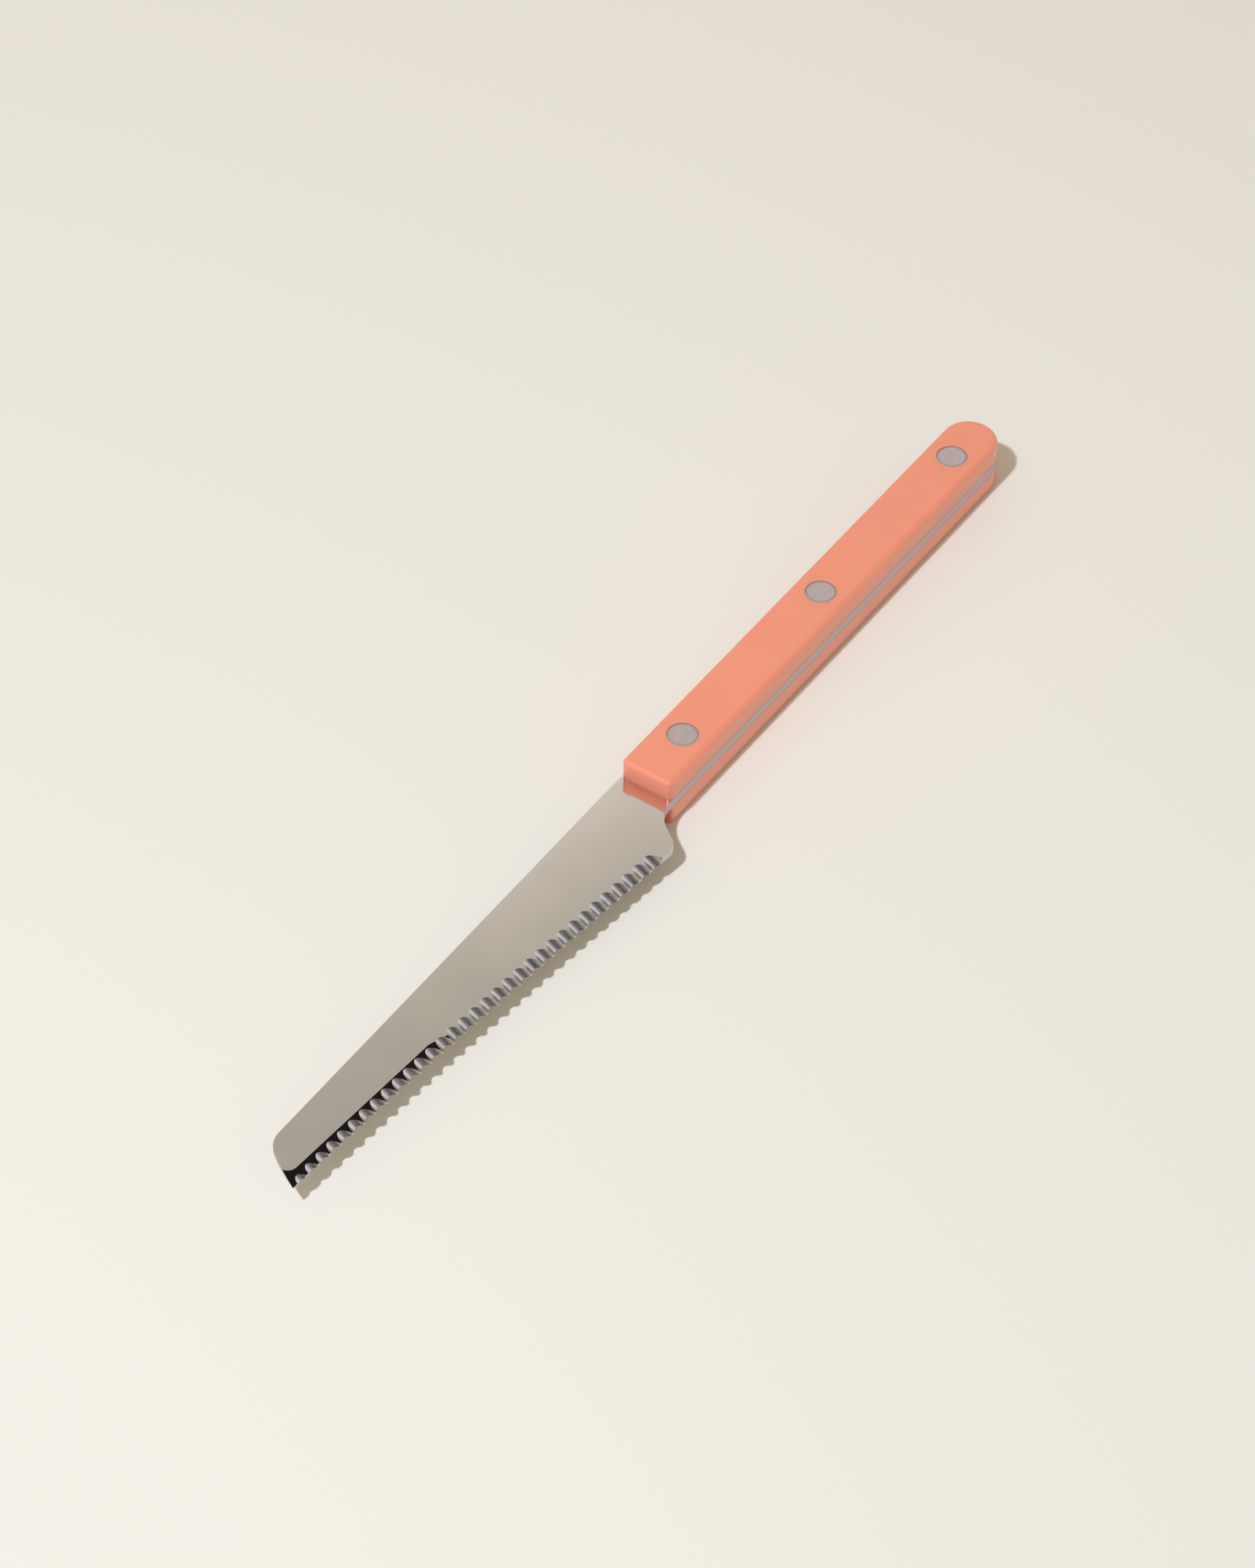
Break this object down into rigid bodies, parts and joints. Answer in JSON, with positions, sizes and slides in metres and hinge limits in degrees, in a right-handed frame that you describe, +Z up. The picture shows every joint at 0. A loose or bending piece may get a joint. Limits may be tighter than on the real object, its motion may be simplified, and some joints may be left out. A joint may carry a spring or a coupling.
{
  "type": "tomato knife",
  "caption": "Small kitchen knife with a full tang, a scalloped edge and a slanted square tip, and straight coral scales held by flush two-part rivets.",
  "frame": {"origin": "under the middle of the knife's bounding box, on the plane that the lower scale lies on", "axes": "+X runs along the knife from the tip to the butt, +Y points to the spine side, +Z up through the two scales; the serrated face of the blade looks up"},
  "size_m": [0.2283, 0.018, 0.011],
  "materials": {
    "steel": "polished stainless blade steel",
    "scale": "coral plastic with a soft sheen",
    "rivet": "stainless rivet heads, ground flush"
  },
  "bodies": {
    "root": {"blade": "steel", "upper_scale": "scale", "lower_scale": "scale", "front_rivet_stud": "rivet", "front_rivet_socket": "rivet", "middle_rivet_stud": "rivet", "middle_rivet_socket": "rivet", "rear_rivet_stud": "rivet", "rear_rivet_socket": "rivet"}
  },
  "joints": []
}
